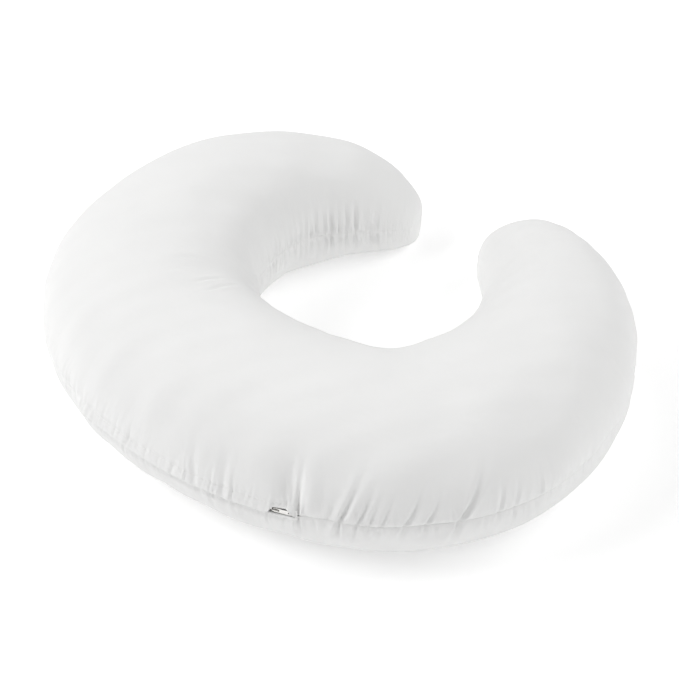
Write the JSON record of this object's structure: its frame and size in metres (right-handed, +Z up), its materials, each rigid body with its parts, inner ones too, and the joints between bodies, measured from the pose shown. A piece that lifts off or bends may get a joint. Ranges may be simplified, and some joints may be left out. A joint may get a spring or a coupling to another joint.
{
  "type": "nursing pillow",
  "caption": "C-shaped stuffed nursing pillow in a white zipped cover; the zip slider travels along the back and its pull tab flips over.",
  "frame": {"origin": "on the surface that the pillow lies on, under the middle of its bounding box", "axes": "+X to the pillow's right, along its longest extent; +Y from the zipped back towards the opening between the tips; +Z up"},
  "size_m": [0.5584, 0.4683, 0.1449],
  "materials": {
    "cover_fabric": "white cotton-blend percale, matt with a faint sheen",
    "liner_fabric": "plain off-white lining cloth, matt",
    "fibre": "loose white polyester fibre",
    "thread": "white sewing thread",
    "zip_tape": "white woven tape",
    "zip_coil": "white nylon coil",
    "nickel": "nickel-plated zinc, satin"
  },
  "bodies": {
    "pillow": {"cover_top_panel": "cover_fabric", "cover_bottom_panel": "cover_fabric", "cover_seam_thread": "thread", "liner_top_panel": "liner_fabric", "liner_bottom_panel": "liner_fabric", "liner_seam_thread": "thread", "liner_closing_stitches": "thread", "fibre_fill": "fibre", "zip_upper_tape": "zip_tape", "zip_lower_tape": "zip_tape", "zip_upper_coil": "zip_coil", "zip_lower_coil": "zip_coil", "zip_upper_stitching": "thread", "zip_lower_stitching": "thread", "bar_tack_left": "thread", "bar_tack_right": "thread"},
    "slider": {"slider_body": "nickel"},
    "tab": {"pull_tab": "nickel"}
  },
  "joints": [
    {"name": "slider_travel", "type": "hinge", "parent": "pillow", "child": "slider", "pos_m": [0, 0.1605, 0.073], "axis": [0, 0, -1], "range_deg": [0, 28.4]},
    {"name": "pull_tab_flip", "type": "hinge", "parent": "slider", "child": "tab", "pos_m": [0.07494, -0.22682, 0.073], "axis": [0, 0, -1], "range_deg": [0, 170]}
  ]
}
